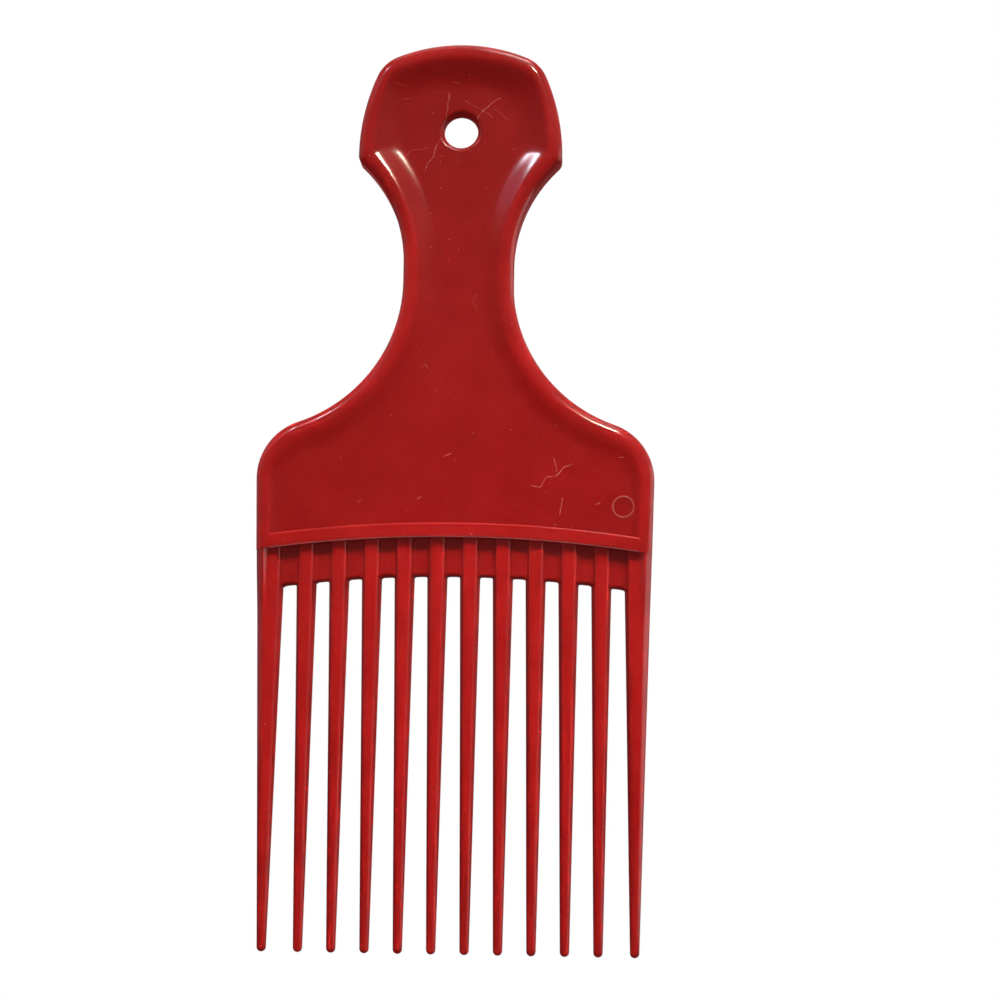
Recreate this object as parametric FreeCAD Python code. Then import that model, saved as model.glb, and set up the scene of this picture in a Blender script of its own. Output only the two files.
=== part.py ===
import FreeCAD, Part
import math
import os

# An afro pick: a dished head with a hang hole, a waisted neck, a palm plate with a raised rim,
# an arched cross rib, and long tapered teeth joined at their roots by a thin web.
# Millimetres. The origin is the centre of the hang hole. Z runs up the length, X across the width
# and Y through the thickness, with the front towards -Y. The front and the back are alike.

Vector = FreeCAD.Vector

# Overall sizes
top_above_hole = 17.3
tip_below_hole = 160.7
plate_width = 77.4
head_width = 40.3
waist_width = 21.7
rim_thickness = 7.2
floor_thickness = 4.0

# Outline of the head, neck and plate
crown_radius = 34.0
upper_corner_radius = 7.5
head_side_radius = 41.0
lower_corner_radius = 2.0
upper_neck_radius = 28.0
lower_neck_radius = 29.7
waist_below_hole = 27.1
waist_length = 3.6
shoulder_radius = 11.6
side_lean_degrees = 1.4
edge_round = 1.4

# Dish, sunk into both faces inside the rim
rim_land = 0.5
head_slope_width = 5.3
neck_slope_width = 3.5
plate_slope_width = 1.4
mouth_lower_corner_radius = 2.0
floor_upper_corner_radius = 5.0
floor_lower_corner_radius = 6.0
dish_round = 1.2

# Where the head, neck and plate meet, from the two ends of the waist
neck_reach_up = 15.0
neck_reach_down = 20.0

# Hang hole
hole_diameter = 6.7
hole_lip_radius = 1.1

# Cross rib, arched upwards in the middle
rib_below_hole = 78.3
rib_height = 2.9
arch_radius = 258.0
rib_edge_round = 0.35

# Web between the tooth roots
web_height = 7.5
web_thickness = 3.4
web_round = 1.2

# Teeth: sizes at the height of the rib's crown and at the centre of the round tip
tooth_count = 12
tooth_root_width = 4.45
end_tooth_root_width = 5.7
tooth_root_depth = 5.2
tooth_tip_size = 1.8
flank_lean_root = 0.56
flank_lean_tip = 0.3
end_bevel_root = 1.4
end_bevel_tip = 0.4

# Worked out from the sizes above
rim_half = rim_thickness / 2
floor_half = floor_thickness / 2
plate_half = plate_width / 2
waist_top = -waist_below_hole
waist_bottom = waist_top - waist_length
arch_centre = -rib_below_hole - arch_radius
rib_under_radius = arch_radius - rib_height
web_under_radius = rib_under_radius - web_height
arch_drop = arch_radius - math.sqrt(arch_radius ** 2 - plate_half ** 2)
blank_bottom = -rib_below_hole - rib_height - arch_drop - rim_thickness
side_lean = math.radians(side_lean_degrees)
tip_radius = tooth_tip_size / 2
tip_centre = tip_radius - tip_below_hole
margin = rim_thickness


def at(x, z, y=0.0):
    """A point of the outline, X across and Z up, at depth y."""
    return Vector(x, y, z)


def toward(centre, x, z, distance):
    """The point at a distance from a centre, on the way to (x, z)."""
    length = math.hypot(x - centre[0], z - centre[1])
    return (
        centre[0] + (x - centre[0]) * distance / length,
        centre[1] + (z - centre[1]) * distance / length,
    )


def arc_through(centre, radius, start, end):
    """The two ends and the middle of the shorter arc from start to end."""
    middle = toward(centre, (start[0] + end[0]) / 2, (start[1] + end[1]) / 2, radius)
    return (start, middle, end)


def meeting(centre_a, radius_a, centre_b, radius_b):
    """The upper right crossing of two circles."""
    dx = centre_b[0] - centre_a[0]
    dz = centre_b[1] - centre_a[1]
    apart = math.hypot(dx, dz)
    along = (radius_a ** 2 - radius_b ** 2 + apart ** 2) / (2 * apart)
    aside = math.sqrt(radius_a ** 2 - along ** 2)
    foot = (centre_a[0] + dx * along / apart, centre_a[1] + dz * along / apart)
    crossings = [
        (foot[0] + sign * aside * dz / apart, foot[1] - sign * aside * dx / apart)
        for sign in (1, -1)
    ]
    return max(crossings, key=lambda point: point[0] + point[1])


def right_side(head_in, neck_in, plate_in, upper_round, lower_round, shoulder_round):
    """The right half of the handle's outline, from the crown down, drawn in by an inset per zone.
    Each stretch is its start and end, with a middle point where it is an arc."""
    head_half = head_width / 2 - head_in
    waist_half = waist_width / 2 - neck_in
    side_x = plate_half - plate_in
    crown = crown_radius - head_in
    side_radius = head_side_radius - head_in
    upper_radius = upper_neck_radius + neck_in
    lower_radius = lower_neck_radius + neck_in
    top = top_above_hole - head_in

    upper_neck = (waist_half + upper_radius, waist_top)
    lower_neck = (waist_half + lower_radius, waist_bottom)
    corner_x = head_half - lower_round
    corner_rise = math.sqrt((upper_radius + lower_round) ** 2 - (upper_neck[0] - corner_x) ** 2)
    lower_corner = (corner_x, waist_top + corner_rise)
    head_side = (head_half - side_radius, lower_corner[1])
    crown_centre = (0.0, top - crown)
    upper_corner = meeting(crown_centre, crown - upper_round, head_side, side_radius - upper_round)
    shoulder_x = side_x - shoulder_round
    shoulder_fall = math.sqrt((lower_radius + shoulder_round) ** 2 - (lower_neck[0] - shoulder_x) ** 2)
    shoulder = (shoulder_x, waist_bottom - shoulder_fall)

    crown_end = toward(crown_centre, *upper_corner, crown)
    side_start = toward(head_side, *upper_corner, side_radius)
    corner_start = (head_half, lower_corner[1])
    neck_start = toward(upper_neck, *lower_corner, upper_radius)
    neck_end = toward(lower_neck, *shoulder, lower_radius)
    shoulder_end = (
        shoulder_x + shoulder_round * math.cos(side_lean),
        shoulder[1] - shoulder_round * math.sin(side_lean),
    )
    side_end_x = shoulder_end[0] - (shoulder_end[1] - blank_bottom) * math.tan(side_lean)
    return [
        arc_through(crown_centre, crown, (0.0, top), crown_end),
        arc_through(upper_corner, upper_round, crown_end, side_start),
        arc_through(head_side, side_radius, side_start, corner_start),
        arc_through(lower_corner, lower_round, corner_start, neck_start),
        arc_through(upper_neck, upper_radius, neck_start, (waist_half, waist_top)),
        ((waist_half, waist_top), (waist_half, waist_bottom)),
        arc_through(lower_neck, lower_radius, (waist_half, waist_bottom), neck_end),
        arc_through(shoulder, shoulder_round, neck_end, shoulder_end),
        (shoulder_end, (side_end_x, blank_bottom)),
    ]


def edge(points, y):
    """An arc through three points, or a line through two."""
    ends = [at(x, z, y) for x, z in points]
    if len(ends) == 3:
        return Part.Arc(*ends).toShape()
    return Part.LineSegment(*ends).toShape()


def closed_outline(right, y):
    """The right half, the bottom line and the mirrored left half, as one wire at depth y."""
    left = [tuple((-x, z) for x, z in reversed(points)) for points in reversed(right)]
    bottom = (right[-1][-1], left[0][0])
    return Part.Wire([edge(points, y) for points in [*right, bottom, *left]])


def lies_at(one_edge, y):
    """True for an edge that lies flat at depth y."""
    box = one_edge.BoundBox
    return abs(box.YMin - y) < 1e-4 and abs(box.YMax - y) < 1e-4


def is_bottom(one_edge):
    """True for the straight edge along the bottom of the blank."""
    return abs(one_edge.BoundBox.ZMax - blank_bottom) < 1e-4


def slab(face, thickness):
    """A face drawn at -thickness/2, made solid through the mid plane."""
    return face.extrude(Vector(0, thickness, 0))


def outer_outline():
    """The right half of the pick's own outline."""
    return right_side(0, 0, 0, upper_corner_radius, lower_corner_radius, shoulder_radius)


def side_at(z):
    """The half width of the leaning side at a height, from the shoulder down to the tips."""
    start_x, start_z = outer_outline()[-1][0]
    return start_x - (start_z - z) * math.tan(side_lean)


def rounded_blank():
    """The handle's outline as a thick slab with rounded outer edges."""
    outline = outer_outline()
    solid = slab(Part.Face(closed_outline(outline, -rim_half)), rim_thickness)
    rims = [
        e for e in solid.Edges
        if (lies_at(e, -rim_half) or lies_at(e, rim_half)) and not is_bottom(e)
    ]
    return solid.makeFillet(edge_round, rims)


def front_dish():
    """What is sunk into the front face: wide slopes in the head, steep ones in the plate."""
    rim = edge_round + rim_land
    mouth = right_side(
        rim, rim, rim,
        upper_corner_radius - rim, mouth_lower_corner_radius, shoulder_radius - rim,
    )
    floor = right_side(
        rim + head_slope_width, rim + neck_slope_width, rim + plate_slope_width,
        floor_upper_corner_radius, floor_lower_corner_radius,
        shoulder_radius - rim - plate_slope_width,
    )
    wires = [closed_outline(mouth, -rim_half), closed_outline(floor, -floor_half)]
    solid = Part.makeLoft(wires, True, True)
    foot = [e for e in solid.Edges if lies_at(e, -floor_half) and not is_bottom(e)]
    return solid.makeFillet(dish_round, foot)


def mirrored(shape):
    """The same shape on the other face."""
    return shape.mirror(Vector(0, 0, 0), Vector(0, 1, 0))


def under_arch(radius):
    """Everything below the arch of the given radius."""
    return Part.makeCylinder(
        radius, rim_thickness + 2 * margin, at(0, arch_centre, -rim_half - margin), Vector(0, 1, 0)
    )


def arch_point(radius, x):
    """The height of an arch at x."""
    return (x, arch_centre + math.sqrt(radius ** 2 - x ** 2))


def arched_band(upper_radius, lower_radius, half_width, thickness):
    """A band between two arches that share a centre."""
    upper = [arch_point(upper_radius, x) for x in (-half_width, 0, half_width)]
    lower = [arch_point(lower_radius, x) for x in (half_width, 0, -half_width)]
    stretches = [upper, (upper[-1], lower[0]), lower, (lower[-1], upper[0])]
    wire = Part.Wire([edge(points, -thickness / 2) for points in stretches])
    return slab(Part.Face(wire), thickness)


def long_edges(band, thickness, radius):
    """The two edges of a band that follow the arch of the given radius."""
    return [
        e for e in band.Edges
        if (lies_at(e, -thickness / 2) or lies_at(e, thickness / 2))
        and hasattr(e.Curve, "Radius")
        and abs(e.Curve.Radius - radius) < 1e-3
    ]


def handle(blank):
    """The head, neck and plate in one, dished on both faces and pierced by the hang hole."""
    dish = front_dish()
    hole_radius = hole_diameter / 2
    hole = Part.makeCylinder(hole_radius, rim_thickness, at(0, 0, -rim_half), Vector(0, 1, 0))
    solid = blank.cut([dish, mirrored(dish), hole, under_arch(arch_radius)])
    lips = [
        e for e in solid.Edges
        if (lies_at(e, -floor_half) or lies_at(e, floor_half))
        and e.CenterOfMass.Length < hole_radius
    ]
    return solid.makeFillet(hole_lip_radius, lips)


def between(solid, low, high):
    """The stretch of the handle from one height to another."""
    box = Part.makeBox(
        plate_width + 2 * margin, rim_thickness + 2 * margin, high - low,
        at(-plate_half - margin, low, -rim_half - margin),
    )
    return solid.common(box)


def cross_rib(blank):
    """The arched rib, with its ends rounded like the plate's edge."""
    band = arched_band(arch_radius, rib_under_radius, plate_half + margin, rim_thickness)
    rounded = band.makeFillet(
        rib_edge_round,
        long_edges(band, rim_thickness, arch_radius)
        + long_edges(band, rim_thickness, rib_under_radius),
    )
    return rounded.common(blank)


def ridge_side(lean, half_depth):
    """One side of a tooth, leaning in from a ridge at the mid plane: inset and depth, front to back."""
    return [(lean, -half_depth), (0, 0), (lean, half_depth)]


def bevel_side(bevel, half_depth):
    """The outer side of an end tooth, upright with bevelled edges: inset and depth, front to back."""
    upright = half_depth - bevel
    return [(bevel, -half_depth), (0, -upright), (0, upright), (bevel, half_depth)]


def tooth_section(x, z, width, left, right):
    """The closed section of a tooth at a height, from the shapes of its two sides."""
    points = [Vector(x - width / 2 + inset, depth, z) for inset, depth in reversed(left)]
    points += [Vector(x + width / 2 - inset, depth, z) for inset, depth in right]
    return Part.makePolygon([*points, points[0]])


def tip_limit(x, axis, place):
    """A tall block ending in a half cylinder, which rounds a tip when seen along its axis."""
    reach = plate_half + margin
    height = tip_below_hole
    round_end = Part.makeCylinder(tip_radius, 2 * reach, place, axis)
    block = Part.makeBox(
        2 * reach, 2 * reach, height, Vector(x - reach, -reach, tip_centre)
    )
    return block.fuse(round_end)


def tooth_pitch():
    """The step between inner teeth, which leaves the same gap at the root between all teeth."""
    free = 2 * (side_at(-rib_below_hole) - end_tooth_root_width)
    gap = (free - (tooth_count - 2) * tooth_root_width) / (tooth_count - 1)
    return tooth_root_width + gap


def trimmed_tooth(sections, x_tip):
    """A tooth through its sections, rounded at the tip and cut to the underside of the rib."""
    solid = Part.makeLoft(sections, True, True)
    reach = plate_half + margin
    limits = [
        tip_limit(x_tip, Vector(0, 1, 0), Vector(x_tip, -reach, tip_centre)),
        tip_limit(x_tip, Vector(1, 0, 0), Vector(x_tip - reach, 0, tip_centre)),
        under_arch(rib_under_radius),
    ]
    for limit in limits:
        solid = solid.common(limit)
    return solid


def inner_tooth(x):
    """A straight tooth with a ridge along each side."""
    root = ridge_side(flank_lean_root, tooth_root_depth / 2)
    tip = ridge_side(flank_lean_tip, tip_radius)
    sections = [
        tooth_section(x, -rib_below_hole, tooth_root_width, root, root),
        tooth_section(x, tip_centre, tooth_tip_size, tip, tip),
        tooth_section(x, -tip_below_hole, tooth_tip_size, tip, tip),
    ]
    return trimmed_tooth(sections, x)


def right_end_tooth():
    """The wider tooth that carries on the plate's leaning side."""
    x_root = side_at(-rib_below_hole) - end_tooth_root_width / 2
    x_tip = side_at(tip_centre) - tip_radius
    root = (
        ridge_side(flank_lean_root, tooth_root_depth / 2),
        bevel_side(end_bevel_root, tooth_root_depth / 2),
    )
    tip = (
        ridge_side(flank_lean_tip, tip_radius),
        bevel_side(end_bevel_tip, tip_radius),
    )
    sections = [
        tooth_section(x_root, -rib_below_hole, end_tooth_root_width, *root),
        tooth_section(x_tip, tip_centre, tooth_tip_size, *tip),
        tooth_section(x_tip, -tip_below_hole, tooth_tip_size, *tip),
    ]
    return trimmed_tooth(sections, x_tip)


def all_teeth():
    """The teeth from left to right."""
    right_end = right_end_tooth()
    left_end = right_end.mirror(Vector(0, 0, 0), Vector(1, 0, 0))
    middle = (tooth_count - 1) / 2
    inner = [inner_tooth((number - middle) * tooth_pitch()) for number in range(1, tooth_count - 1)]
    return [left_end, *inner, right_end]


def web_panels(teeth):
    """The thin panels between the tooth roots, from left to right."""
    half_width = side_at(-rib_below_hole) - end_tooth_root_width / 2
    band = arched_band(rib_under_radius, web_under_radius, half_width, web_thickness)
    rounded = band.makeFillet(web_round, long_edges(band, web_thickness, web_under_radius))
    panels = rounded.cut(teeth).Solids
    return sorted(panels, key=lambda panel: panel.CenterOfMass.x)


blank = rounded_blank()
whole_handle = handle(blank)
neck_top = waist_top + neck_reach_up
neck_bottom = waist_bottom - neck_reach_down
teeth = all_teeth()

pieces = {
    "grip_head": between(whole_handle, neck_top, top_above_hole + margin),
    "neck": between(whole_handle, neck_bottom, neck_top),
    "palm_plate": between(whole_handle, blank_bottom - margin, neck_bottom),
    "cross_rib": cross_rib(blank),
}
for number, solid in enumerate(teeth, start=1):
    pieces[f"tooth_{number:02d}"] = solid
for number, solid in enumerate(web_panels(teeth), start=1):
    pieces[f"root_web_{number:02d}"] = solid

os.makedirs("parts", exist_ok=True)
for name, shape in pieces.items():
    shape.exportStep(f"parts/{name}.step")
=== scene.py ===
import math

import bmesh
import bpy
from mathutils import Matrix, Vector


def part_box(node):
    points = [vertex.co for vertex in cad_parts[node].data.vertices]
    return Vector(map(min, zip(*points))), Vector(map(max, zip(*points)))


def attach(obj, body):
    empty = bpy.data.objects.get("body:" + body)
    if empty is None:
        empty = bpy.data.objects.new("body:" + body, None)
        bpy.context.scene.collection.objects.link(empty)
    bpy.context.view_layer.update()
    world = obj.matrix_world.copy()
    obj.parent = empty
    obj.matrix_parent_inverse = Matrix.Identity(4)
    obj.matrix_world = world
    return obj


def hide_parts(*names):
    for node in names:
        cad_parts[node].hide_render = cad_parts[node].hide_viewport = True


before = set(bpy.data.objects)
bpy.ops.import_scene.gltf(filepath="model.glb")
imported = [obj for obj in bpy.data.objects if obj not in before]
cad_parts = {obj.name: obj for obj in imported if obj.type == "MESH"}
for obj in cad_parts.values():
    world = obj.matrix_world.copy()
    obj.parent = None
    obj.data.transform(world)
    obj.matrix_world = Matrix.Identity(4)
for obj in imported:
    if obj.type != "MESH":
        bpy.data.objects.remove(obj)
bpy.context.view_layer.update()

# A red moulded hair pick, drawn in millimetres in the frame of the solids and made in metres.
# X runs across, Z up the length, and the front faces -Y. The front and the back are alike.
MM = 0.001
BODY = "root"

# The handle's materials, by number: the rim's plain, the dish's with painted shade
RIM_LOOK = 0
DISH_PAINTED_SHADE_LOOK = 1


def node_box(node):
    """The lowest and highest corner of a solid, in millimetres."""
    low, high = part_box(node)
    return low / MM, high / MM


# Sizes taken from the frame
head_top = node_box("grip_head")[1].z
head_half = node_box("grip_head")[1].x
rim_half = node_box("grip_head")[1].y
plate_half = node_box("palm_plate")[1].x
rib_crown = node_box("cross_rib")[1].z
tip_end = node_box("tooth_01")[0].z
tooth_names = sorted(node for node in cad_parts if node.startswith("tooth_"))
web_names = sorted(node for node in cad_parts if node.startswith("root_web_"))

# Outline of the head, neck and plate
waist_half = 10.85
crown_radius = 34.0
upper_corner_radius = 7.5
head_side_radius = 41.0
lower_corner_radius = 2.0
upper_neck_radius = 28.0
lower_neck_radius = 29.7
waist_top = -27.1
waist_bottom = -30.7
shoulder_radius = 11.6
side_lean = math.radians(1.4)

# Steps on each stretch of the outline, from the crown down to the end of the side
stretch_steps = (12, 8, 16, 8, 24, 3, 28, 18, 12)

# Rim and dish
edge_width = 2.2
edge_depth = 1.4
edge_steps = 12
rim_land = 0.1
rim_inset = edge_width + rim_land
floor_at_hole = 1.85
floor_at_rib = 2.95
floor_level_from = -60.0
head_slope = 6.8
neck_slope = 4.6
neck_flare = 9.0
plate_slope = 2.2
slope_lead = 0.8
slope_steps = 20
mouth_upper_corner = 3.5
mouth_lower_corner = 1.2
floor_upper_corner = 8.0
floor_lower_corner = 7.0

# Hang hole
hole_radius = 3.35
hole_lip = 1.1
lip_steps = 6
hole_sides = 64

# Cross rib
arch_radius = 258.0
arch_centre = rib_crown - arch_radius
rib_height = 2.9
rib_under = arch_radius - rib_height
rib_sink = 0.03
rib_seat = 0.15
rib_edge = 0.45
rib_columns = 64

# Web between the tooth roots
web_height = 7.38
web_under = rib_under - web_height
web_half = 1.7
web_round = 0.7
web_round_steps = 5
gap_corner = 0.2
web_overlap = 0.7
root_fillet = 0.08
fillet_columns = 8
gap_columns = 4

# Teeth, from the height of the rib's crown to the centre of the round tip
tooth_root_width = 4.45
end_root_width = 5.7
root_half_depth = 2.6
tip_radius = 0.9
tip_centre = tip_end + tip_radius
flank_lean_root = 0.85
flank_lean_tip = 0.3
end_bevel_root = 1.4
end_bevel_tip = 0.4
rim_run_out = 14.0
rim_run_in = 0.4
tooth_edge_cut = 0.5
tooth_sink = 1.0
tooth_sections = 20
tip_steps = 6
round_from = 0.3
round_to = 0.95

# Softened corners of the rib and the teeth: points on each, and the most that it takes of a side
corner_points = 5
corner_side_share = 0.45

# Witness ring left by the mould on the front of the plate
ring_x = 32.7
ring_z = -74.9
ring_radius = 2.02
ring_bead = 0.2
ring_sunk = 0.05
ring_sides = 72
bead_sides = 10


def mixed(a, b, share):
    """The value a given share of the way from a to b."""
    return a + (b - a) * share


def eased(share):
    """A share that starts and ends gently."""
    held = min(max(share, 0.0), 1.0)
    return held * held * (3 - 2 * held)


# Meshes

sharp_angle = math.radians(38)


def new_object(name, bm):
    """An object in the scene with a finished mesh."""
    mesh = bpy.data.meshes.new(name)
    bm.to_mesh(mesh)
    bm.free()
    made = bpy.data.objects.new(name, mesh)
    bpy.context.scene.collection.objects.link(made)
    return made


def new_piece(name, bm, nodes, material):
    """A smooth-shaded piece that rides on the body and stands for some solids."""
    bmesh.ops.remove_doubles(bm, verts=bm.verts, dist=1e-7)
    bmesh.ops.recalc_face_normals(bm, faces=bm.faces)
    for face in bm.faces:
        face.smooth = True
    for edge in bm.edges:
        edge.smooth = edge.calc_face_angle(0.0) < sharp_angle
    piece = new_object(name, bm)
    piece.data.materials.append(material)
    weighted = piece.modifiers.new("even_normals", "WEIGHTED_NORMAL")
    weighted.keep_sharp = True
    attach(piece, BODY)
    if nodes:
        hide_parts(*nodes)
    return piece


def add_row(bm, points):
    """Vertices at points given in millimetres."""
    return [bm.verts.new(Vector(point) * MM) for point in points]


def join_rows(bm, row, other, closed=False, look=0):
    """A strip of faces between two rows of the same length, with the number of its material."""
    count = len(row) if closed else len(row) - 1
    for here in range(count):
        after = (here + 1) % len(row)
        face = bm.faces.new((row[here], row[after], other[after], other[here]))
        face.material_index = look


def add_tube(bm, rows):
    """Closed rows joined one after the other, with both ends filled."""
    made = [add_row(bm, row) for row in rows]
    for row, other in zip(made, made[1:]):
        join_rows(bm, row, other, closed=True)
    bm.faces.new(made[0])
    bm.faces.new(made[-1])


# Outline

def toward(centre, point, distance):
    """The point at a distance from a centre, on the way to another point."""
    dx = point[0] - centre[0]
    dz = point[1] - centre[1]
    length = math.hypot(dx, dz)
    return (centre[0] + dx * distance / length, centre[1] + dz * distance / length)


def meeting(centre_a, radius_a, centre_b, radius_b):
    """The upper right crossing of two circles."""
    dx = centre_b[0] - centre_a[0]
    dz = centre_b[1] - centre_a[1]
    apart = math.hypot(dx, dz)
    along = (radius_a ** 2 - radius_b ** 2 + apart ** 2) / (2 * apart)
    aside = math.sqrt(radius_a ** 2 - along ** 2)
    foot = (centre_a[0] + dx * along / apart, centre_a[1] + dz * along / apart)
    crossings = [
        (foot[0] + sign * aside * dz / apart, foot[1] - sign * aside * dx / apart)
        for sign in (1, -1)
    ]
    return max(crossings, key=lambda point: point[0] + point[1])


def arc(centre, start, end, steps):
    """Points along the shorter arc from start to end, without the end."""
    radius = math.hypot(start[0] - centre[0], start[1] - centre[1])
    first = math.atan2(start[1] - centre[1], start[0] - centre[0])
    turn = math.atan2(end[1] - centre[1], end[0] - centre[0]) - first
    turn = (turn + math.pi) % (2 * math.pi) - math.pi
    angles = [first + turn * step / steps for step in range(steps)]
    return [(centre[0] + radius * math.cos(a), centre[1] + radius * math.sin(a)) for a in angles]


def line(start, end, steps):
    """Points along a line from start to end, without the end."""
    return [
        (mixed(start[0], end[0], step / steps), mixed(start[1], end[1], step / steps))
        for step in range(steps)
    ]


def arch_height(radius, x):
    """The height of an arch of the rib at x."""
    return arch_centre + math.sqrt(radius ** 2 - x ** 2)


def side_end(start):
    """Where the leaning side, followed down from a point, meets the handle's lower end."""
    x = start[0]
    rounds_to_settle = 6
    for _ in range(rounds_to_settle):
        z = arch_height(rib_under + rib_seat, x)
        x = start[0] - (start[1] - z) * math.tan(side_lean)
    return (x, z)


def right_half(head_in, neck_in, plate_in, upper_round, lower_round, shoulder_round, flare=0.0):
    """Points of the right half of the outline, from the crown down, drawn in by an inset per zone.

    A flare adds to the radius above the waist, so that the inset grows towards the head.
    """
    half = head_half - head_in
    waist = waist_half - neck_in
    crown = crown_radius - head_in
    side_radius = head_side_radius - head_in
    upper_radius = upper_neck_radius + neck_in + flare
    lower_radius = lower_neck_radius + neck_in
    top = head_top - head_in

    upper_neck = (waist + upper_radius, waist_top)
    lower_neck = (waist + lower_radius, waist_bottom)
    corner_x = half - lower_round
    corner_rise = math.sqrt((upper_radius + lower_round) ** 2 - (upper_neck[0] - corner_x) ** 2)
    lower_corner = (corner_x, waist_top + corner_rise)
    head_side = (half - side_radius, lower_corner[1])
    crown_centre = (0.0, top - crown)
    upper_corner = meeting(crown_centre, crown - upper_round, head_side, side_radius - upper_round)
    shoulder_x = plate_half - plate_in - shoulder_round
    fall = math.sqrt((lower_radius + shoulder_round) ** 2 - (lower_neck[0] - shoulder_x) ** 2)
    shoulder = (shoulder_x, waist_bottom - fall)

    crown_end = toward(crown_centre, upper_corner, crown)
    side_start = toward(head_side, upper_corner, side_radius)
    corner_start = (half, lower_corner[1])
    neck_start = toward(upper_neck, lower_corner, upper_radius)
    neck_end = toward(lower_neck, shoulder, lower_radius)
    shoulder_end = (
        shoulder_x + shoulder_round * math.cos(side_lean),
        shoulder[1] - shoulder_round * math.sin(side_lean),
    )
    bottom = side_end(shoulder_end)
    steps = stretch_steps
    points = arc(crown_centre, (0.0, top), crown_end, steps[0])
    points += arc(upper_corner, crown_end, side_start, steps[1])
    points += arc(head_side, side_start, corner_start, steps[2])
    points += arc(lower_corner, corner_start, neck_start, steps[3])
    points += arc(upper_neck, neck_start, (waist, waist_top), steps[4])
    points += line((waist, waist_top), (waist, waist_bottom), steps[5])
    points += arc(lower_neck, (waist, waist_bottom), neck_end, steps[6])
    points += arc(shoulder, neck_end, shoulder_end, steps[7])
    points += line(shoulder_end, bottom, steps[8])
    return [*points, bottom]


def edge_outline(inset):
    """The outline drawn in evenly, for the rounded outer edge, with corners on the way to the mouth's."""
    share = inset / rim_inset
    return right_half(
        inset, inset, inset,
        mixed(upper_corner_radius, mouth_upper_corner, share),
        mixed(lower_corner_radius, mouth_lower_corner, share),
        shoulder_radius - inset,
    )


def dish_outline(share):
    """The outline of the dish, from its mouth at 0 to its floor at 1."""
    return right_half(
        rim_inset + head_slope * share,
        rim_inset + neck_slope * share,
        rim_inset + plate_slope * share,
        mixed(mouth_upper_corner, floor_upper_corner, share),
        mixed(mouth_lower_corner, floor_lower_corner, share),
        shoulder_radius - rim_inset - plate_slope * share,
        neck_flare * share,
    )


def whole_outline(half, sign):
    """A half outline mirrored, from the lower right end over the crown to the lower left end."""
    right = [(x, sign * depth, z) for x, depth, z in reversed(half)]
    left = [(-x, sign * depth, z) for x, depth, z in half[1:]]
    return right + left


# Handle

def floor_half(z):
    """Half the thickness between the dish floors at a height: least at the hole, level on the plate."""
    return mixed(floor_at_hole, floor_at_rib, eased(z / floor_level_from))


def handle_levels():
    """Half outlines with their depths, from the middle of the outer wall in to the dish floor."""
    levels = [[(x, 0.0, z) for x, z in edge_outline(0.0)]]
    for step in range(edge_steps + 1):
        turn = math.pi / 2 * step / edge_steps
        depth = rim_half - edge_depth * (1 - math.sin(turn))
        levels.append([(x, depth, z) for x, z in edge_outline(edge_width * (1 - math.cos(turn)))])
    for step in range(slope_steps + 1):
        share = step / slope_steps
        fall = eased(share ** slope_lead)
        levels.append([(x, mixed(rim_half, floor_half(z), fall), z) for x, z in dish_outline(share)])
    return levels


def hole_circles(sign):
    """Circles of the hang hole, from the floor over its rounded lip in to the middle of the bore."""
    turns = [2 * math.pi * side / hole_sides for side in range(hole_sides)]
    circles = []
    for step in range(lip_steps + 1):
        bend = math.pi / 2 * step / lip_steps
        radius = hole_radius + hole_lip * (1 - math.sin(bend))
        sunk = hole_lip * (1 - math.cos(bend))
        places = [(radius * math.cos(turn), radius * math.sin(turn)) for turn in turns]
        circles.append([(x, sign * (floor_half(z) - sunk), z) for x, z in places])
    return [*circles, [(x, 0.0, z) for x, z in places]]


def row_edges(bm, row, closed=False):
    """The edges along a row, made where they are missing."""
    pairs = list(zip(row, row[1:]))
    if closed:
        pairs.append((row[-1], row[0]))
    return [bm.edges.get(pair) or bm.edges.new(pair) for pair in pairs]


def add_face_side(bm, front):
    """One face of the handle, with its half of the outer wall. Returns its lower border, right to left."""
    sign = -1 if front else 1
    rows = [add_row(bm, whole_outline(half, sign)) for half in handle_levels()]
    for level, (row, other) in enumerate(zip(rows, rows[1:])):
        join_rows(bm, row, other, look=RIM_LOOK if level <= edge_steps else DISH_PAINTED_SHADE_LOOK)

    circles = [add_row(bm, circle) for circle in hole_circles(sign)]
    for row, other in zip(circles, circles[1:]):
        join_rows(bm, row, other, closed=True, look=DISH_PAINTED_SHADE_LOOK)

    floor = rows[-1]
    end_x = floor[0].co.x / MM
    inner = [mixed(end_x, -end_x, step / rib_columns) for step in range(1, rib_columns)]
    end_radius = rib_under + rib_seat
    ends = [(x, arch_height(end_radius, x)) for x in inner]
    lower = add_row(bm, [(x, sign * floor_half(z), z) for x, z in ends])
    border = row_edges(bm, floor) + row_edges(bm, [floor[0], *lower, floor[-1]])
    filled = bmesh.ops.triangle_fill(
        bm, use_beauty=True, use_dissolve=False, edges=border + row_edges(bm, circles[0], closed=True)
    )
    for part in filled["geom"]:
        if isinstance(part, bmesh.types.BMFace):
            part.material_index = DISH_PAINTED_SHADE_LOOK
    return [row[0] for row in rows] + lower + [row[-1] for row in reversed(rows)]


def make_handle(rim_material, dish_painted_shade_material):
    """The head, neck and plate as one moulded skin, dished on both faces."""
    bm = bmesh.new()
    front = add_face_side(bm, front=True)
    back = add_face_side(bm, front=False)
    join_rows(bm, front, back)
    handle = new_piece("handle_shell", bm, ["grip_head", "neck", "palm_plate"], rim_material)
    handle.data.materials.append(dish_painted_shade_material)
    return handle


# Sides and corners of the rib and the teeth

def side_at(z):
    """The half width of the leaning side at a height."""
    outline = edge_outline(0.0)
    low, high = outline[-1], outline[-2]
    return mixed(low[0], high[0], (z - low[1]) / (high[1] - low[1]))


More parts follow.
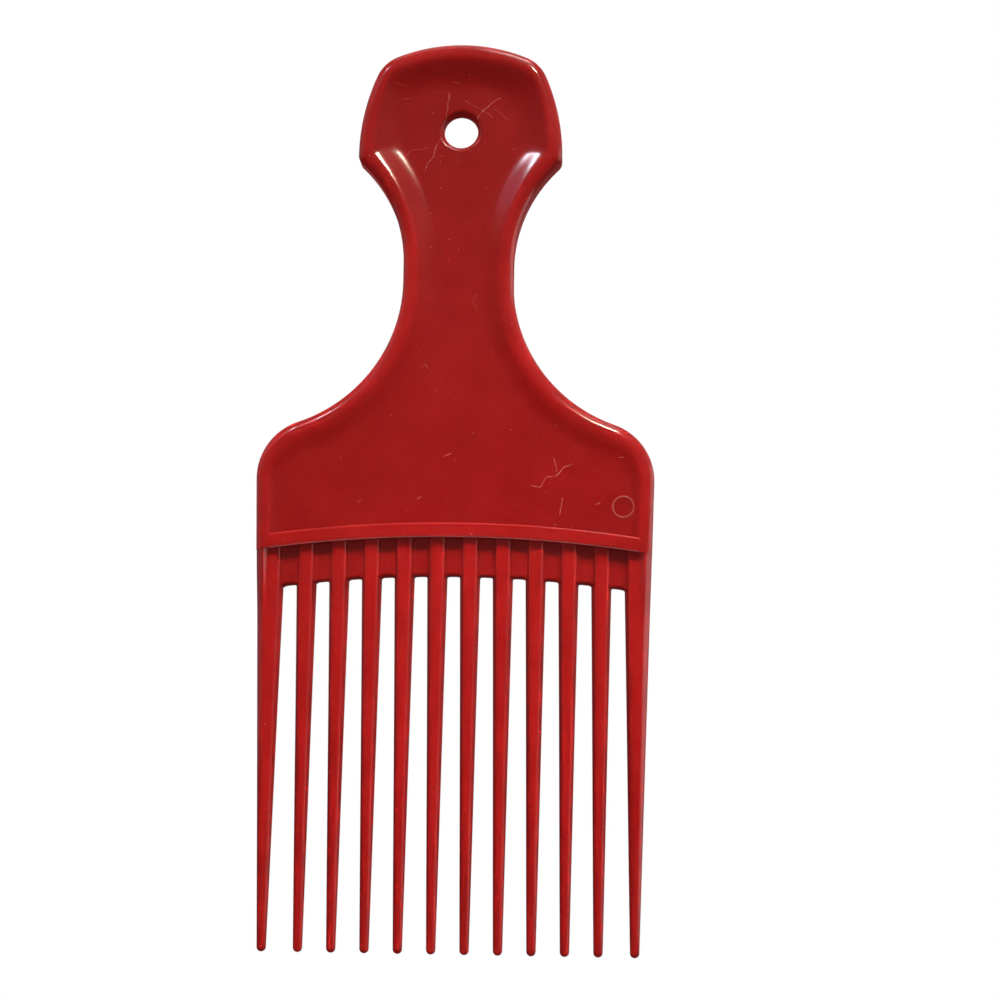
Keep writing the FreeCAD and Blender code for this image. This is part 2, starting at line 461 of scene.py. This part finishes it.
def softened(corners, cut):
    """A closed section with each corner replaced by a curve between points a cut away from it."""
    points = []
    for here, corner in enumerate(corners):
        before = Vector(corners[here - 1])
        after = Vector(corners[(here + 1) % len(corners)])
        middle = Vector(corner)
        reach_in = min(cut, (before - middle).length * corner_side_share)
        reach_out = min(cut, (after - middle).length * corner_side_share)
        start = middle + (before - middle).normalized() * reach_in
        end = middle + (after - middle).normalized() * reach_out
        for step in range(corner_points):
            t = step / (corner_points - 1)
            points.append(start * (1 - t) ** 2 + middle * 2 * t * (1 - t) + end * t ** 2)
    return points


# Rib

def make_rib(material):
    """The arched bar across the plate, as deep as the rim."""
    bm = bmesh.new()
    depth = rim_half - rib_sink
    corners = [(arch_radius, -depth), (arch_radius, depth), (rib_under, depth), (rib_under, -depth)]
    section = softened(corners, rib_edge)
    reach = math.asin((side_at(rib_crown) - edge_width) / arch_radius)
    rows = []
    for column in range(rib_columns + 1):
        turn = mixed(-reach, reach, column / rib_columns)
        rows.append([
            (radius * math.sin(turn), y, arch_centre + radius * math.cos(turn)) for radius, y in section
        ])
    add_tube(bm, rows)
    return new_piece("rib_bar", bm, ["cross_rib"], material)


# Teeth

def tooth_step():
    """The step between inner teeth, which leaves equal gaps at the roots."""
    inner = len(tooth_names) - 2
    free = 2 * (side_at(rib_crown) - end_root_width) - inner * tooth_root_width
    return tooth_root_width + free / (inner + 1)


def tooth_share(z):
    """How far down the tooth a height is, from 0 at the rib's crown to 1 at the tip's centre."""
    return (rib_crown - z) / (rib_crown - tip_centre)


def tooth_sides(number, z):
    """The left and right limits of a tooth at a height."""
    share = tooth_share(z)
    count = len(tooth_names)
    if number in (0, count - 1):
        outer = side_at(z)
        inner = outer - mixed(end_root_width, 2 * tip_radius, share)
        return (inner, outer) if number else (-outer, -inner)
    centre = (number - (count - 1) / 2) * tooth_step()
    half = mixed(tooth_root_width / 2, tip_radius, share)
    return (centre - half, centre + half)


def tooth_corners(number, share, half_width, half_depth, proud):
    """The corners of a tooth's section about its centre. The outer side of an end tooth is bevelled and
    carries the plate's rim on, as far as it stands proud of the tooth."""
    lean = mixed(flank_lean_root, flank_lean_tip, share)
    bevel = mixed(end_bevel_root, end_bevel_tip, share)
    ridge = [(half_width - lean, -half_depth), (half_width, 0.0), (half_width - lean, half_depth)]
    rise = half_width - bevel - rim_run_in * (1 + proud)
    edge = half_depth + proud
    front = [(rise, -half_depth), (half_width - bevel, -edge), (half_width, bevel - edge)]
    outer = front + [(x, -y) for x, y in reversed(front)]
    last = len(tooth_names) - 1
    right = outer if number == last else ridge
    left = outer if number == 0 else ridge
    return right + [(-x, y) for x, y in reversed(left)]


def tooth_row(number, z, shrink=1.0, drop=0.0, narrow=0.0):
    """A section of a tooth at a height, rounder towards the tip."""
    share = min(tooth_share(z), 1.0)
    low, high = tooth_sides(number, z)
    half_width = (high - low) / 2 - narrow
    half_depth = mixed(root_half_depth, tip_radius, share)
    roundness = eased((share - round_from) / (round_to - round_from))
    below_rib = arch_height(rib_under, (low + high) / 2) - z
    proud = (rim_half - rib_sink - half_depth) * (1 - eased(below_rib / rim_run_out))
    corners = tooth_corners(number, share, half_width, half_depth, proud)
    row = []
    for point in softened(corners, tooth_edge_cut):
        toward_round = Vector((point.x / half_width, point.y / half_depth)).normalized()
        circle = Vector((toward_round.x * half_width, toward_round.y * half_depth))
        place = point.lerp(circle, roundness) * shrink
        row.append(((low + high) / 2 + place.x, place.y, z - drop))
    return row


def make_tooth(number, node, material):
    """A long tapered tooth with softened edges and a round tip."""
    bm = bmesh.new()
    low, high = tooth_sides(number, rib_crown)
    outermost = max(abs(low), abs(high))
    start = arch_height(rib_under + rib_seat, outermost)
    rows = [tooth_row(number, start + tooth_sink, narrow=rib_seat)]
    for section in range(tooth_sections + 1):
        rows.append(tooth_row(number, mixed(start, tip_centre, section / tooth_sections)))
    for step in range(1, tip_steps):
        turn = math.pi / 2 * step / tip_steps
        rows.append(tooth_row(number, tip_centre, math.cos(turn), tip_radius * math.sin(turn)))
    add_tube(bm, rows)
    name = node.replace("tooth_", "tooth_skin_")
    return new_piece(name, bm, [node], material)


# Web

def web_columns(left, right):
    """Places across a gap, closer together beside the teeth."""
    shares = [step / fillet_columns for step in range(fillet_columns + 1)]
    near = [-web_overlap] + [root_fillet * share ** 1.5 for share in shares]
    first, last = left + root_fillet, right - root_fillet
    columns = [left + step for step in near]
    columns += [mixed(first, last, step / gap_columns) for step in range(1, gap_columns)]
    columns += [right - step for step in reversed(near)]
    return columns


def corner_fill(distance, radius):
    """How far a rounded inner corner stands in at a distance from the tooth."""
    away = min(max(distance, 0.0), radius)
    return radius - math.sqrt(radius ** 2 - (radius - away) ** 2)


def web_profile(top, bottom, half):
    """The section of a web panel: depth and height, down the front and up the back."""
    front = [(-half, top)]
    for step in range(web_round_steps + 1):
        turn = math.pi / 2 * step / web_round_steps
        depth = half - web_round * (1 - math.cos(turn))
        front.append((-depth, bottom + web_round * (1 - math.sin(turn))))
    return front + [(-depth, height) for depth, height in reversed(front)]


def make_web(number, node, material):
    """The thin panel that joins two teeth at their roots."""
    bm = bmesh.new()
    level = arch_height(web_under, 0.0)
    left = tooth_sides(number, level)[1]
    right = tooth_sides(number + 1, level)[0]
    rows = []
    for x in web_columns(left, right):
        beside = min(x - left, right - x)
        bottom = arch_height(web_under, x) - corner_fill(beside, gap_corner)
        top = arch_height(rib_under, x) + rib_seat
        half = web_half + corner_fill(beside, root_fillet)
        rows.append([(x, y, z) for y, z in web_profile(top, bottom, half)])
    add_tube(bm, rows)
    name = node.replace("root_web_", "web_skin_")
    return new_piece(name, bm, [node], material)


# Ring

def make_ring(material):
    """The fine raised ring left by the mould."""
    bm = bmesh.new()
    rows = []
    for side in range(ring_sides):
        turn = 2 * math.pi * side / ring_sides
        row = []
        for step in range(bead_sides):
            swing = 2 * math.pi * step / bead_sides
            radius = ring_radius + ring_bead * math.cos(swing)
            z = ring_z + radius * math.sin(turn)
            depth = ring_sunk - floor_half(z) + ring_bead * math.sin(swing)
            row.append((ring_x + radius * math.cos(turn), depth, z))
        rows.append(add_row(bm, row))
    for row, other in zip(rows, [*rows[1:], rows[0]]):
        join_rows(bm, row, other, closed=True)
    return new_piece("witness_ring", bm, [], material)


# Plastic

red_deep = (0.405, 0.0075, 0.0060, 1)
red_clear = (0.465, 0.0110, 0.0088, 1)
# Pale pink of scratches and dust, also painted over the witness ring as a highlight by the share below
scuff_and_highlight_pink = (0.66, 0.19, 0.15, 1)
ring_highlight_paling = 0.3
roughness_low = 0.11
roughness_high = 0.17
grain_strength = 0.08
grain_depth = 0.05

# Painted shade: the share of its colour that a recessed face keeps, from this far off the middle plane
# inwards
dish_shade = 0.76
web_shade = 0.80
full_shade_from = 3.3

# Fineness of the patterns in the plastic, about as many per metre
mottle_fineness = 160.0
fleck_fineness = 2600.0
gloss_fineness = 90.0
grain_fineness = 2500.0
waver_fineness = 700.0
break_fineness = 1100.0
speck_fineness = 560.0

# Scratches and chips on the front, as points across and up in millimetres
clear_scratches = [
    [(7.8, 6.6), (6.3, 5.9), (4.1, 3.9), (3.2, 2.5)],
    [(-2.5, 7.8), (-2.8, 4.1), (-3.2, 1.8)],
    [(-3.9, -1.7), (-5.0, -3.2), (-5.3, -5.4), (-6.6, -6.9), (-7.0, -8.4)],
    [(14.8, -70.9), (16.7, -71.2), (17.8, -69.2), (19.6, -69.0), (21.4, -67.1), (22.7, -66.6)],
    [(19.3, -65.6), (19.7, -68.0)],
    [(21.0, -73.2), (20.4, -76.5)],
    [(-7.2, -73.8), (-6.6, -73.4)],
    [(-2.0, -65.4), (-0.8, -64.8)],
    [(31.7, -65.3), (32.7, -65.2)],
    [(27.4, -74.5), (28.2, -74.1)],
]
faint_scratches = [
    [(0.8, 6.0), (3.9, 4.3), (6.3, 2.8)],
    [(-10.5, -5.2), (-9.8, -4.0), (-7.4, -3.8), (-6.6, -3.4)],
    [(3.4, -33.1), (3.0, -34.7), (3.9, -36.6)],
    [(-7.0, -48.3), (-6.2, -47.2), (-5.0, -48.8)],
    [(-18.7, -74.5), (-18.1, -74.2)],
    [(-22.3, -65.7), (-22.0, -66.6)],
    [(-18.9, -58.5), (-18.8, -58.4)],
    [(-6.1, -50.9), (-6.0, -50.8)],
    [(16.0, -61.9), (16.1, -61.8)],
    [(-13.0, 9.4), (-10.9, 8.8)],
    [(-12.7, 6.1), (-10.3, 6.5)],
    [(-2.0, 10.0), (-0.2, 9.5)],
    [(6.2, 4.6), (7.4, 4.0), (9.2, 2.2)],
    [(-0.8, -6.8), (-0.2, -5.0)],
    [(1.3, -3.8), (2.2, -4.4)],
]
clear_width = 0.10
faint_width = 0.09
clear_strength = 0.8
faint_strength = 0.36
scratch_waver = 0.7
scratch_core = 0.3
front_from = -1.0
front_full = -1.2
speck_size = 0.085


def add_node(tree, kind, **inputs):
    """A shader node with some of its inputs set by name."""
    node = tree.nodes.new(kind)
    for name, value in inputs.items():
        node.inputs[name].default_value = value
    return node


def link(tree, output, node, socket):
    """Joins an output to a named or numbered input."""
    tree.links.new(output, node.inputs[socket])


def ramp(tree, value, low, high, from_low, from_high):
    """A value mapped from one range to another and held at its ends."""
    node = tree.nodes.new("ShaderNodeMapRange")
    node.inputs["From Min"].default_value = from_low
    node.inputs["From Max"].default_value = from_high
    node.inputs["To Min"].default_value = low
    node.inputs["To Max"].default_value = high
    link(tree, value, node, "Value")
    return node.outputs["Result"]


def feed(tree, node, socket, value):
    """Sets an input to a value, or joins an output to it."""
    if isinstance(value, bpy.types.NodeSocket):
        link(tree, value, node, socket)
    else:
        node.inputs[socket].default_value = value


def mix_colour(tree, share, first, second, blend="MIX"):
    """Two colours blended by a share. Each is a colour or an output."""
    node = tree.nodes.new("ShaderNodeMix")
    node.data_type = "RGBA"
    node.blend_type = blend
    for socket, value in ((0, share), (6, first), (7, second)):
        feed(tree, node, socket, value)
    return node.outputs[2]


def number_of(tree, operation, *values):
    """A number worked out from numbers or outputs."""
    node = tree.nodes.new("ShaderNodeMath")
    node.operation = operation
    for socket, value in enumerate(values):
        feed(tree, node, socket, value)
    return node.outputs[0]


def vector_of(tree, operation, *values):
    """A vector node fed with vectors or outputs."""
    node = tree.nodes.new("ShaderNodeVectorMath")
    node.operation = operation
    for socket, value in enumerate(values):
        feed(tree, node, socket, value)
    return node


def noise_of(tree, place, scale, detail):
    """A noise between 0 and 1 at a place."""
    node = add_node(tree, "ShaderNodeTexNoise", Scale=scale, Detail=detail)
    link(tree, place, node, "Vector")
    return node


def stroke_distance(tree, place, start, end):
    """How far a place on the front is from a straight stroke."""
    begin = Vector((start[0], 0, start[1])) * MM
    along = Vector((end[0], 0, end[1])) * MM - begin
    offset = vector_of(tree, "SUBTRACT", place, begin).outputs["Vector"]
    share = vector_of(tree, "DOT_PRODUCT", offset, along / along.length_squared).outputs["Value"]
    held = number_of(tree, "MINIMUM", number_of(tree, "MAXIMUM", share, 0.0), 1.0)
    reached = vector_of(tree, "SCALE", along)
    link(tree, held, reached, "Scale")
    gap = vector_of(tree, "SUBTRACT", offset, reached.outputs["Vector"]).outputs["Vector"]
    return vector_of(tree, "LENGTH", gap).outputs["Value"]


def scratch_mask(tree, place, scratches, width):
    """One along a set of scratches and nothing away from them."""
    nearest = None
    for points in scratches:
        for start, end in zip(points, points[1:]):
            distance = stroke_distance(tree, place, start, end)
            nearest = number_of(tree, "MINIMUM", nearest, distance) if nearest else distance
    return ramp(tree, nearest, 1.0, 0.0, width * scratch_core * MM, width * MM)


def add_scratches(tree, place, colour):
    """Pale scratches on the front, a little wavy and broken."""
    drift = noise_of(tree, place, waver_fineness, 2.0)
    waver = vector_of(tree, "SUBTRACT", drift.outputs["Color"], (0.5, 0.5, 0.5))
    waved = vector_of(tree, "SCALE", waver.outputs["Vector"])
    waved.inputs["Scale"].default_value = scratch_waver * MM
    moved = vector_of(tree, "ADD", place, waved.outputs["Vector"]).outputs["Vector"]
    flat = vector_of(tree, "MULTIPLY", moved, (1.0, 0.0, 1.0)).outputs["Vector"]
    split = tree.nodes.new("ShaderNodeSeparateXYZ")
    link(tree, place, split, 0)
    on_front = ramp(tree, split.outputs["Y"], 1.0, 0.0, front_full * MM, front_from * MM)
    clear_mask = scratch_mask(tree, flat, clear_scratches, clear_width)
    clear = number_of(tree, "MULTIPLY", clear_mask, clear_strength)
    faint_mask = scratch_mask(tree, flat, faint_scratches, faint_width)
    faint = number_of(tree, "MULTIPLY", faint_mask, faint_strength)
    breaks = noise_of(tree, place, break_fineness, 2.0).outputs["Fac"]
    broken = ramp(tree, breaks, 0.25, 1.0, 0.35, 0.6)
    strokes = number_of(tree, "MULTIPLY", number_of(tree, "MAXIMUM", clear, faint), broken)
    return mix_colour(tree, number_of(tree, "MULTIPLY", strokes, on_front), colour, scuff_and_highlight_pink)


def add_specks(tree, place, colour):
    """Scattered pale specks of dust."""
    cells = add_node(tree, "ShaderNodeTexVoronoi", Scale=speck_fineness)
    link(tree, place, cells, "Vector")
    chosen = tree.nodes.new("ShaderNodeSeparateColor")
    link(tree, cells.outputs["Color"], chosen, 0)
    size = ramp(tree, chosen.outputs[0], 0.0, speck_size, 0.4, 1.0)
    inside = number_of(tree, "LESS_THAN", cells.outputs["Distance"], size)
    specks = number_of(tree, "MULTIPLY", inside, ramp(tree, chosen.outputs[1], 0.15, 0.6, 0.0, 1.0))
    return mix_colour(tree, specks, colour, scuff_and_highlight_pink)


def make_plastic(name, painted_recess_shade=1.0, scratched=False, highlight_paling=0.0):
    """Glossy red moulded plastic, mottled, dusty and grained, with painted shade where recessed and a
    painted highlight if asked.
    """
    material = bpy.data.materials.new(name)
    material.use_nodes = True
    tree = material.node_tree
    shader = tree.nodes["Principled BSDF"]
    place = tree.nodes.new("ShaderNodeTexCoord").outputs["Object"]

    mottle = noise_of(tree, place, mottle_fineness, 5.0).outputs["Fac"]
    reds = mix_colour(tree, ramp(tree, mottle, 0, 1, 0.3, 0.7), red_deep, red_clear)
    fleck = noise_of(tree, place, fleck_fineness, 1.0).outputs["Fac"]
    reds = mix_colour(tree, 1.0, reds, ramp(tree, fleck, 0.93, 1.07, 0.3, 0.7), "MULTIPLY")
    # Painted shade: recessed faces are darkened by their depth, fully from full_shade_from inwards
    if painted_recess_shade < 1:
        split = tree.nodes.new("ShaderNodeSeparateXYZ")
        link(tree, place, split, 0)
        depth = number_of(tree, "ABSOLUTE", split.outputs["Y"])
        shade = ramp(tree, depth, painted_recess_shade, 1.0, full_shade_from * MM, rim_half * MM)
        reds = mix_colour(tree, 1.0, reds, shade, "MULTIPLY")
    # Painted highlight: the whole face paled toward pink
    if highlight_paling:
        reds = mix_colour(tree, highlight_paling, reds, scuff_and_highlight_pink)
    if scratched:
        reds = add_scratches(tree, place, reds)
    link(tree, add_specks(tree, place, reds), shader, "Base Color")

    gloss = noise_of(tree, place, gloss_fineness, 3.0).outputs["Fac"]
    link(tree, ramp(tree, gloss, roughness_low, roughness_high, 0.3, 0.7), shader, "Roughness")

    bump = add_node(tree, "ShaderNodeBump", Strength=grain_strength, Distance=grain_depth * MM)
    link(tree, noise_of(tree, place, grain_fineness, 2.0).outputs["Fac"], bump, "Height")
    link(tree, bump.outputs["Normal"], shader, "Normal")
    return material


# Camera, with its lens and sensor in millimetres

camera_place = Vector((22.04, -394.11, -118.40)) * MM
camera_tilt = math.radians(6.50)
camera_yaw = math.radians(-1.93)
camera_roll = math.radians(0.85)
camera_lens = 73.26
sensor_width = 36.0

# Floor, room and lamps, in metres, with directions in degrees
ground_height = -0.30
ground_radius = 0.9
ground_sides = 96
ground_fade_from = 0.25
ground_fade_to = ground_radius * 0.95
pick_middle = Vector((0.0, 0.0, -0.07))
teeth_middle = Vector((0.0, 0.0, -0.125))
room_radius = 1.2
room_bottom = -85
room_top = 65
room_step = 5
room_level_low = 0.04
room_level_high = 0.21
room_gain_right = 2.5
room_gain_behind = 3.0
near_lamp_rise = 52
near_lamp_distance = 0.90
near_lamp_size = 0.08
near_lamp_half_beam = math.radians(7)

# Colours of the surroundings and the lamps
white = (1.0, 1.0, 1.0, 1)
ground_grey = (0.9, 0.9, 0.9, 1)
room_red = (1.0, 0.25, 0.23, 1)
lamp_white = (1.0, 1.0, 1.0)
lamp_warm = (1.0, 0.98, 0.95)
gleam_warm = (1.0, 0.97, 0.95)
gleam_gold = (1.0, 0.90, 0.70)
gleam_rose = (0.90, 0.78, 0.86)
window_blue = (0.86, 0.88, 1.0)
sky_violet = (0.66, 0.62, 1.0)


def add_camera():
    """The camera, close in front, a little low and looking slightly up."""
    ahead = Vector((
        math.sin(camera_yaw) * math.cos(camera_tilt),
        math.cos(camera_yaw) * math.cos(camera_tilt),
        math.sin(camera_tilt),
    ))
    level = Vector((math.cos(camera_yaw), -math.sin(camera_yaw), 0.0))
    upright = level.cross(ahead)
    right = level * math.cos(camera_roll) + upright * math.sin(camera_roll)
    up = upright * math.cos(camera_roll) - level * math.sin(camera_roll)
    data = bpy.data.cameras.new("photo_camera")
    data.lens = camera_lens
    data.sensor_width = sensor_width
    data.clip_start = 0.01
    camera = bpy.data.objects.new("photo_camera", data)
    axes = Matrix((right, up, -ahead)).transposed().to_4x4()
    camera.matrix_world = Matrix.Translation(camera_place) @ axes
    bpy.context.scene.collection.objects.link(camera)
    bpy.context.scene.camera = camera


def toward_room(azimuth, elevation):
    """A direction out from the pick: degrees to the right of its front, and degrees up."""
    across = math.radians(azimuth)
    rise = math.radians(elevation)
    return Vector((math.cos(rise) * math.sin(across), -math.cos(rise) * math.cos(across), math.sin(rise)))


def add_lamp(name, azimuth, elevation, distance, width, height, level, colour, aim=pick_middle):
    """A rectangular soft lamp. Its level is the brightness of a white surface that faces it at the aim."""
    data = bpy.data.lights.new(name, "AREA")
    data.shape = "RECTANGLE"
    data.size = width
    data.size_y = height
    data.energy = level * math.pi ** 2 * distance ** 2
    data.color = colour
    lamp = bpy.data.objects.new(name, data)
    outward = toward_room(azimuth, elevation)
    lamp.location = aim + outward * distance
    lamp.rotation_euler = outward.to_track_quat("Z", "Y").to_euler()
    lamp.visible_camera = False
    bpy.context.scene.collection.objects.link(lamp)
    return lamp


def light_only(lamp, pieces):
    """Keeps the light of a lamp to some pieces."""
    lit = bpy.data.collections.new("lit_by_" + lamp.name)
    for piece in pieces:
        lit.objects.link(piece)
    lamp.light_linking.receiver_collection = lit


def add_near_lamp(name, azimuth, level, pieces):
    """A narrow soft lamp on some pieces, not mirrored, whose light falls off towards the head."""
    half = near_lamp_half_beam
    size = near_lamp_size
    # A narrow beam gathers the lamp's power, so the level is lowered by as much
    gathered = math.tan(half) / (math.tan(half) - half)
    lamp = add_lamp(
        name, azimuth, near_lamp_rise, near_lamp_distance, size, size,
        level / gathered, lamp_warm, teeth_middle,
    )
    lamp.data.spread = 2 * half
    lamp.visible_glossy = False
    light_only(lamp, pieces)


def add_gleam(name, azimuth, elevation, distance, width, height, radiance, colour):
    """A lamp that is only mirrored, given by how bright it looks."""
    level = radiance * width * height / (math.pi * distance ** 2)
    lamp = add_lamp(name, azimuth, elevation, distance, width, height, level, colour)
    lamp.visible_diffuse = False
    return lamp


def add_world(from_below, from_above):
    """White surroundings where they are seen or mirrored, and soft light elsewhere, most from below."""
    world = bpy.data.worlds.new("studio")
    bpy.context.scene.world = world
    world.use_nodes = True
    tree = world.node_tree
    lit = tree.nodes["Background"]
    lit.inputs["Color"].default_value = white
    direction = tree.nodes.new("ShaderNodeTexCoord")
    split = tree.nodes.new("ShaderNodeSeparateXYZ")
    link(tree, direction.outputs["Generated"], split, 0)
    link(tree, ramp(tree, split.outputs["Z"], from_below, from_above, -1, 1), lit, "Strength")
    seen = add_node(tree, "ShaderNodeBackground", Color=white)
    path = tree.nodes.new("ShaderNodeLightPath")
    shown = path.outputs["Is Camera Ray"]
    for other in ("Is Glossy Ray", "Is Transmission Ray"):
        shown = number_of(tree, "MAXIMUM", shown, path.outputs[other])
    mix = tree.nodes.new("ShaderNodeMixShader")
    link(tree, shown, mix, 0)
    link(tree, lit.outputs[0], mix, 1)
    link(tree, seen.outputs[0], mix, 2)
    link(tree, mix.outputs[0], tree.nodes["World Output"], "Surface")


def bare_material(name):
    """A material whose shader is still to be added."""
    material = bpy.data.materials.new(name)
    material.use_nodes = True
    nodes = material.node_tree.nodes
    nodes.remove(nodes["Principled BSDF"])
    return material


def make_floor_material():
    """Pale grey that fades out towards the edge of the floor."""
    material = bare_material("pale_floor")
    tree = material.node_tree
    pale = add_node(tree, "ShaderNodeBsdfDiffuse", Color=ground_grey)
    clear = tree.nodes.new("ShaderNodeBsdfTransparent")
    place = tree.nodes.new("ShaderNodeTexCoord").outputs["Object"]
    away = vector_of(tree, "LENGTH", place).outputs["Value"]
    fade = ramp(tree, away, 0.0, 1.0, ground_fade_from, ground_fade_to)
    fade.node.interpolation_type = "SMOOTHSTEP"
    mix = tree.nodes.new("ShaderNodeMixShader")
    link(tree, fade, mix, 0)
    link(tree, pale.outputs[0], mix, 1)
    link(tree, clear.outputs[0], mix, 2)
    link(tree, mix.outputs[0], tree.nodes["Material Output"], "Surface")
    return material


def add_floor():
    """A pale round floor below the pick that fades out into the white surroundings."""
    bm = bmesh.new()
    bmesh.ops.create_circle(bm, cap_ends=True, segments=ground_sides, radius=ground_radius)
    floor = new_object("floor", bm)
    floor.location = (0, 0, ground_height)
    floor.visible_diffuse = False
    floor.visible_glossy = False
    floor.data.materials.append(make_floor_material())


def make_room_material():
    """A dim glow, brighter higher up, to the right and behind, where it is reddish."""
    material = bare_material("dim_room")
    tree = material.node_tree
    place = tree.nodes.new("ShaderNodeTexCoord")
    split = tree.nodes.new("ShaderNodeSeparateXYZ")
    link(tree, place.outputs["Object"], split, 0)
    higher = ramp(tree, split.outputs["Z"], room_level_low, room_level_high, -0.2, 0.6)
    right = ramp(tree, split.outputs["X"], 1.0, room_gain_right, 0.4, 1.0)
    behind = ramp(tree, split.outputs["Y"], 0.0, 1.0, 0.0, 0.6)
    level = number_of(tree, "MULTIPLY", higher, right)
    gain = ramp(tree, behind, 1.0, room_gain_behind, 0.0, 1.0)
    level = number_of(tree, "MULTIPLY", level, gain)
    glow = tree.nodes.new("ShaderNodeEmission")
    link(tree, mix_colour(tree, behind, white, room_red), glow, "Color")
    link(tree, level, glow, "Strength")
    link(tree, glow.outputs[0], tree.nodes["Material Output"], "Surface")
    return material


def add_dim_room():
    """The dim room all around the pick, which is only mirrored in its gloss."""
    bm = bmesh.new()
    rows = []
    for rise in range(room_bottom, room_top + 1, room_step):
        ways = [toward_room(turn, rise) for turn in range(-180, 181, room_step)]
        rows.append(add_row(bm, [(pick_middle + way * room_radius) / MM for way in ways]))
    for row, other in zip(rows, rows[1:]):
        join_rows(bm, row, other)
    room = new_object("dim_room", bm)
    room.visible_camera = False
    room.visible_diffuse = False
    room.visible_shadow = False
    room.data.materials.append(make_room_material())


# The pick

plastic = make_plastic("red_plastic")
# The webs and the dish carry painted shade where they are recessed
web_plastic_painted_shade = make_plastic("red_plastic_web_painted_shade", web_shade)
dish_plastic_painted_shade = make_plastic("red_plastic_dished_painted_shade", dish_shade, scratched=True)
# The witness ring is paled toward pink: a painted highlight
ring_plastic = make_plastic("red_plastic_painted_highlight", highlight_paling=ring_highlight_paling)
rib = make_rib(plastic)
plate_pieces = [make_handle(plastic, dish_plastic_painted_shade), rib, make_ring(ring_plastic)]
comb_pieces = [make_tooth(number, node, plastic) for number, node in enumerate(tooth_names)]
comb_pieces += [make_web(number, node, web_plastic_painted_shade) for number, node in enumerate(web_names)]

# Camera and light

add_camera()
add_world(from_below=0.34, from_above=0.24)
add_floor()
add_dim_room()

# Lamps, by azimuth, elevation, distance, width, height, and level or a gleam's radiance

add_lamp("key", 27, 60, 1.60, 0.50, 0.40, 0.68, lamp_warm)
add_lamp("cool_window", -36, 43, 0.80, 0.04, 0.05, 0.085, window_blue)
add_lamp("cool_sky", -42, 38, 0.90, 0.18, 0.24, 0.014, sky_violet)
add_gleam("left_gleam", -84, 18, 0.90, 1.10, 0.80, 0.36, gleam_rose)
add_gleam("warm_gleam", 18.5, 39.5, 0.75, 0.055, 0.085, 110, gleam_gold)
add_gleam("right_gleam", 88, 4, 0.90, 0.90, 0.57, 1.5, gleam_warm)
rib_gleam = add_gleam("rib_gleam", 0, -62, 0.22, 0.30, 0.22, 1.6, gleam_warm)
light_only(rib_gleam, [rib])
back_fill = add_lamp("back_fill", 170, 40, 1.60, 0.80, 0.80, 0.55, lamp_white)
back_fill.visible_glossy = False
add_near_lamp("plate_lamp", 12, 0.95, plate_pieces)
add_near_lamp("teeth_lamp", 30, 1.24, comb_pieces)

bpy.context.scene.view_settings.view_transform = "Standard"
